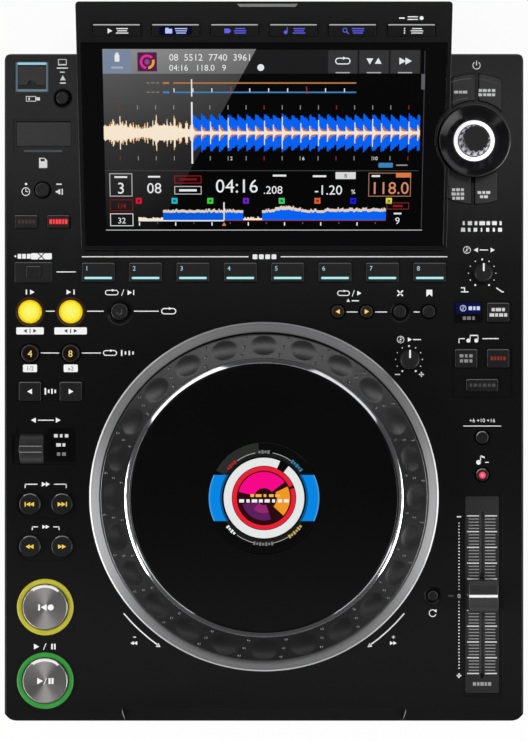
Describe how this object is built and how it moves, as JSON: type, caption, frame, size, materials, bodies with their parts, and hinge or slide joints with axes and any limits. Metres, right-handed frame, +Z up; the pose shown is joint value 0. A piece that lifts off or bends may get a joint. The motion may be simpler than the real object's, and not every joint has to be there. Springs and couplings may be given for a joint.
{
  "type": "tabletop dj player",
  "caption": "Flat tabletop DJ player with a large jog wheel, cue and play buttons, a row of pads, a tempo slider and a tilted touch display over its rear edge.",
  "frame": {"origin": "centre of the footprint's bounding box, on the table", "axes": "+X to the player's right, +Y to its rear, +Z up"},
  "size_m": [0.329, 0.453, 0.1181],
  "materials": {
    "case": "fine textured black paint on steel",
    "panel": "satin black moulding",
    "socket": "moulded black",
    "rubber": "matt",
    "screw": "zinc plated",
    "board": "glass fibre board",
    "metal": "bare pressed steel",
    "glass": "gloss cover glass with a lit picture behind it",
    "satin_ring": "satin turned",
    "trim": "bright",
    "dial": "soft touch",
    "gloss_black": "gloss",
    "light": "lit translucent ring",
    "spun_metal": "spun",
    "key": "satin black",
    "lit_yellow": "lit from inside",
    "pad": "soft touch",
    "knob": "satin black",
    "knob_bright": "dark bright plating",
    "slider_cap": "soft touch"
  },
  "bodies": {
    "root": {"bottom_case": "case", "rubber_feet": "rubber", "case_screws": "screw", "top_panel": "panel", "rear_panel": "case", "rear_sockets": "socket", "network_socket": "metal", "power_supply": "board", "circuit_boards": "board", "media_sockets": "metal", "display_back_shell": "panel", "display_module": "metal", "display_bezel": "panel", "display_glass": "glass", "jog_surround_ring": "satin_ring", "jog_spindle": "metal", "jog_bearing": "metal", "jog_display": "glass", "light_rings": "light", "selector_dish": "knob", "slider_plate": "case", "slider_rail": "metal"},
    "search_buttons": {"search_buttons": "key"},
    "track_search_buttons": {"track_search_buttons": "key"},
    "beat_jump_keys": {"beat_jump_keys": "key"},
    "beat_loop_buttons": {"beat_loop_buttons": "key"},
    "loop_in_button": {"loop_in_button": "lit_yellow"},
    "loop_out_button": {"loop_out_button": "lit_yellow"},
    "reloop_button": {"reloop_button": "key"},
    "bank_key": {"bank_key": "key"},
    "slip_and_quantize_keys": {"slip_and_quantize_keys": "key"},
    "time_mode_button": {"time_mode_button": "key"},
    "stick_stop_button": {"stick_stop_button": "key"},
    "hot_cue_pads": {"hot_cue_pads": "pad"},
    "cue_call_buttons": {"cue_call_buttons": "key"},
    "delete_button": {"delete_button": "key"},
    "memory_button": {"memory_button": "key"},
    "jog_mode_key": {"jog_mode_key": "key"},
    "beat_sync_key": {"beat_sync_key": "key"},
    "master_key": {"master_key": "key"},
    "key_sync_key": {"key_sync_key": "key"},
    "corner_keys": {"corner_keys": "key"},
    "tempo_range_button": {"tempo_range_button": "key"},
    "master_tempo_button": {"master_tempo_button": "key"},
    "tempo_reset_button": {"tempo_reset_button": "key"},
    "cue_button": {"cue_button": "spun_metal"},
    "play_button": {"play_button": "spun_metal"},
    "display_keys": {"display_keys": "key"},
    "power_switch": {"power_switch": "key"},
    "jog_dial": {"jog_dial": "dial", "jog_trim_ring": "trim"},
    "jog_plate": {"jog_plate": "gloss_black"},
    "selector_shaft": {"selector_shaft": "metal"},
    "selector_knob": {"selector_knob": "knob_bright"},
    "jog_feel_knob": {"jog_feel_knob": "knob"},
    "speed_knob": {"speed_knob": "knob"},
    "direction_lever": {"direction_lever": "key"},
    "stick_flap": {"stick_flap": "key"},
    "card_door": {"card_door": "key"},
    "slider_cap": {"slider_cap": "slider_cap"}
  },
  "joints": [
    {"name": "search_buttons_press", "type": "slide", "parent": "root", "child": "search_buttons", "axis": [0, 0, -1], "range_m": [0, 0.001], "stiffness_N_per_m": 400},
    {"name": "track_search_buttons_press", "type": "slide", "parent": "root", "child": "track_search_buttons", "axis": [0, 0, -1], "range_m": [0, 0.001], "stiffness_N_per_m": 400},
    {"name": "beat_jump_keys_press", "type": "slide", "parent": "root", "child": "beat_jump_keys", "axis": [0, 0, -1], "range_m": [0, 0.001], "stiffness_N_per_m": 400},
    {"name": "beat_loop_buttons_press", "type": "slide", "parent": "root", "child": "beat_loop_buttons", "axis": [0, 0, -1], "range_m": [0, 0.001], "stiffness_N_per_m": 400},
    {"name": "loop_in_button_press", "type": "slide", "parent": "root", "child": "loop_in_button", "axis": [0, 0, -1], "range_m": [0, 0.001], "stiffness_N_per_m": 400},
    {"name": "loop_out_button_press", "type": "slide", "parent": "root", "child": "loop_out_button", "axis": [0, 0, -1], "range_m": [0, 0.001], "stiffness_N_per_m": 400},
    {"name": "reloop_button_press", "type": "slide", "parent": "root", "child": "reloop_button", "axis": [0, 0, -1], "range_m": [0, 0.001], "stiffness_N_per_m": 400},
    {"name": "bank_key_press", "type": "slide", "parent": "root", "child": "bank_key", "axis": [0, 0, -1], "range_m": [0, 0.001], "stiffness_N_per_m": 400},
    {"name": "slip_and_quantize_keys_press", "type": "slide", "parent": "root", "child": "slip_and_quantize_keys", "axis": [0, 0, -1], "range_m": [0, 0.001], "stiffness_N_per_m": 400},
    {"name": "time_mode_button_press", "type": "slide", "parent": "root", "child": "time_mode_button", "axis": [0, 0, -1], "range_m": [0, 0.001], "stiffness_N_per_m": 400},
    {"name": "stick_stop_button_press", "type": "slide", "parent": "root", "child": "stick_stop_button", "axis": [0, 0, -1], "range_m": [0, 0.001], "stiffness_N_per_m": 400},
    {"name": "hot_cue_pads_press", "type": "slide", "parent": "root", "child": "hot_cue_pads", "axis": [0, 0, -1], "range_m": [0, 0.001], "stiffness_N_per_m": 400},
    {"name": "cue_call_buttons_press", "type": "slide", "parent": "root", "child": "cue_call_buttons", "axis": [0, 0, -1], "range_m": [0, 0.001], "stiffness_N_per_m": 400},
    {"name": "delete_button_press", "type": "slide", "parent": "root", "child": "delete_button", "axis": [0, 0, -1], "range_m": [0, 0.001], "stiffness_N_per_m": 400},
    {"name": "memory_button_press", "type": "slide", "parent": "root", "child": "memory_button", "axis": [0, 0, -1], "range_m": [0, 0.001], "stiffness_N_per_m": 400},
    {"name": "jog_mode_key_press", "type": "slide", "parent": "root", "child": "jog_mode_key", "axis": [0, 0, -1], "range_m": [0, 0.001], "stiffness_N_per_m": 400},
    {"name": "beat_sync_key_press", "type": "slide", "parent": "root", "child": "beat_sync_key", "axis": [0, 0, -1], "range_m": [0, 0.001], "stiffness_N_per_m": 400},
    {"name": "master_key_press", "type": "slide", "parent": "root", "child": "master_key", "axis": [0, 0, -1], "range_m": [0, 0.001], "stiffness_N_per_m": 400},
    {"name": "key_sync_key_press", "type": "slide", "parent": "root", "child": "key_sync_key", "axis": [0, 0, -1], "range_m": [0, 0.001], "stiffness_N_per_m": 400},
    {"name": "corner_keys_press", "type": "slide", "parent": "root", "child": "corner_keys", "axis": [0, 0, -1], "range_m": [0, 0.001], "stiffness_N_per_m": 400},
    {"name": "tempo_range_button_press", "type": "slide", "parent": "root", "child": "tempo_range_button", "axis": [0, 0, -1], "range_m": [0, 0.001], "stiffness_N_per_m": 400},
    {"name": "master_tempo_button_press", "type": "slide", "parent": "root", "child": "master_tempo_button", "axis": [0, 0, -1], "range_m": [0, 0.001], "stiffness_N_per_m": 400},
    {"name": "tempo_reset_button_press", "type": "slide", "parent": "root", "child": "tempo_reset_button", "axis": [0, 0, -1], "range_m": [0, 0.001], "stiffness_N_per_m": 400},
    {"name": "cue_button_press", "type": "slide", "parent": "root", "child": "cue_button", "axis": [0, 0, -1], "range_m": [0, 0.0015], "stiffness_N_per_m": 600},
    {"name": "play_button_press", "type": "slide", "parent": "root", "child": "play_button", "axis": [0, 0, -1], "range_m": [0, 0.0015], "stiffness_N_per_m": 600},
    {"name": "display_keys_press", "type": "slide", "parent": "root", "child": "display_keys", "axis": [0, 0.2957, -0.9553], "range_m": [0, 0.0005], "stiffness_N_per_m": 600},
    {"name": "power_switch_press", "type": "slide", "parent": "root", "child": "power_switch", "axis": [0, -1, 0], "range_m": [0, 0.0015], "stiffness_N_per_m": 400},
    {"name": "jog_turn", "type": "hinge", "parent": "root", "child": "jog_dial", "pos_m": [0, -0.0786, 0.08], "axis": [0, 0, 1], "continuous": true},
    {"name": "jog_plate_press", "type": "slide", "parent": "jog_dial", "child": "jog_plate", "axis": [0, 0, -1], "range_m": [0, 0.0004], "stiffness_N_per_m": 8000},
    {"name": "selector_shaft_press", "type": "slide", "parent": "root", "child": "selector_shaft", "axis": [0, 0, -1], "range_m": [0, 0.0008], "stiffness_N_per_m": 400},
    {"name": "selector_turn", "type": "hinge", "parent": "selector_shaft", "child": "selector_knob", "pos_m": [0.1318, 0.1453, 0.075], "axis": [0, 0, 1], "continuous": true},
    {"name": "jog_feel_knob_turn", "type": "hinge", "parent": "root", "child": "jog_feel_knob", "pos_m": [0.0919, 0.0082, 0.07], "axis": [0, 0, -1], "range_deg": [-150, 150]},
    {"name": "speed_knob_turn", "type": "hinge", "parent": "root", "child": "speed_knob", "pos_m": [0.1383, 0.0629, 0.07], "axis": [0, 0, -1], "range_deg": [-150, 150]},
    {"name": "direction_lever_tilt", "type": "hinge", "parent": "root", "child": "direction_lever", "pos_m": [-0.1471, -0.0484, 0.0598], "axis": [1, 0, 0], "range_deg": [-12, 12]},
    {"name": "stick_flap_hinge", "type": "hinge", "parent": "root", "child": "stick_flap", "pos_m": [-0.1472, 0.1941, 0.0646], "axis": [-1, 0, 0], "range_deg": [0, 95]},
    {"name": "card_door_hinge", "type": "hinge", "parent": "root", "child": "card_door", "pos_m": [-0.1397, 0.1585, 0.0646], "axis": [-1, 0, 0], "range_deg": [0, 95]},
    {"name": "tempo_slide", "type": "slide", "parent": "root", "child": "slider_cap", "axis": [0, 1, 0], "range_m": [-0.05, 0.05]}
  ]
}
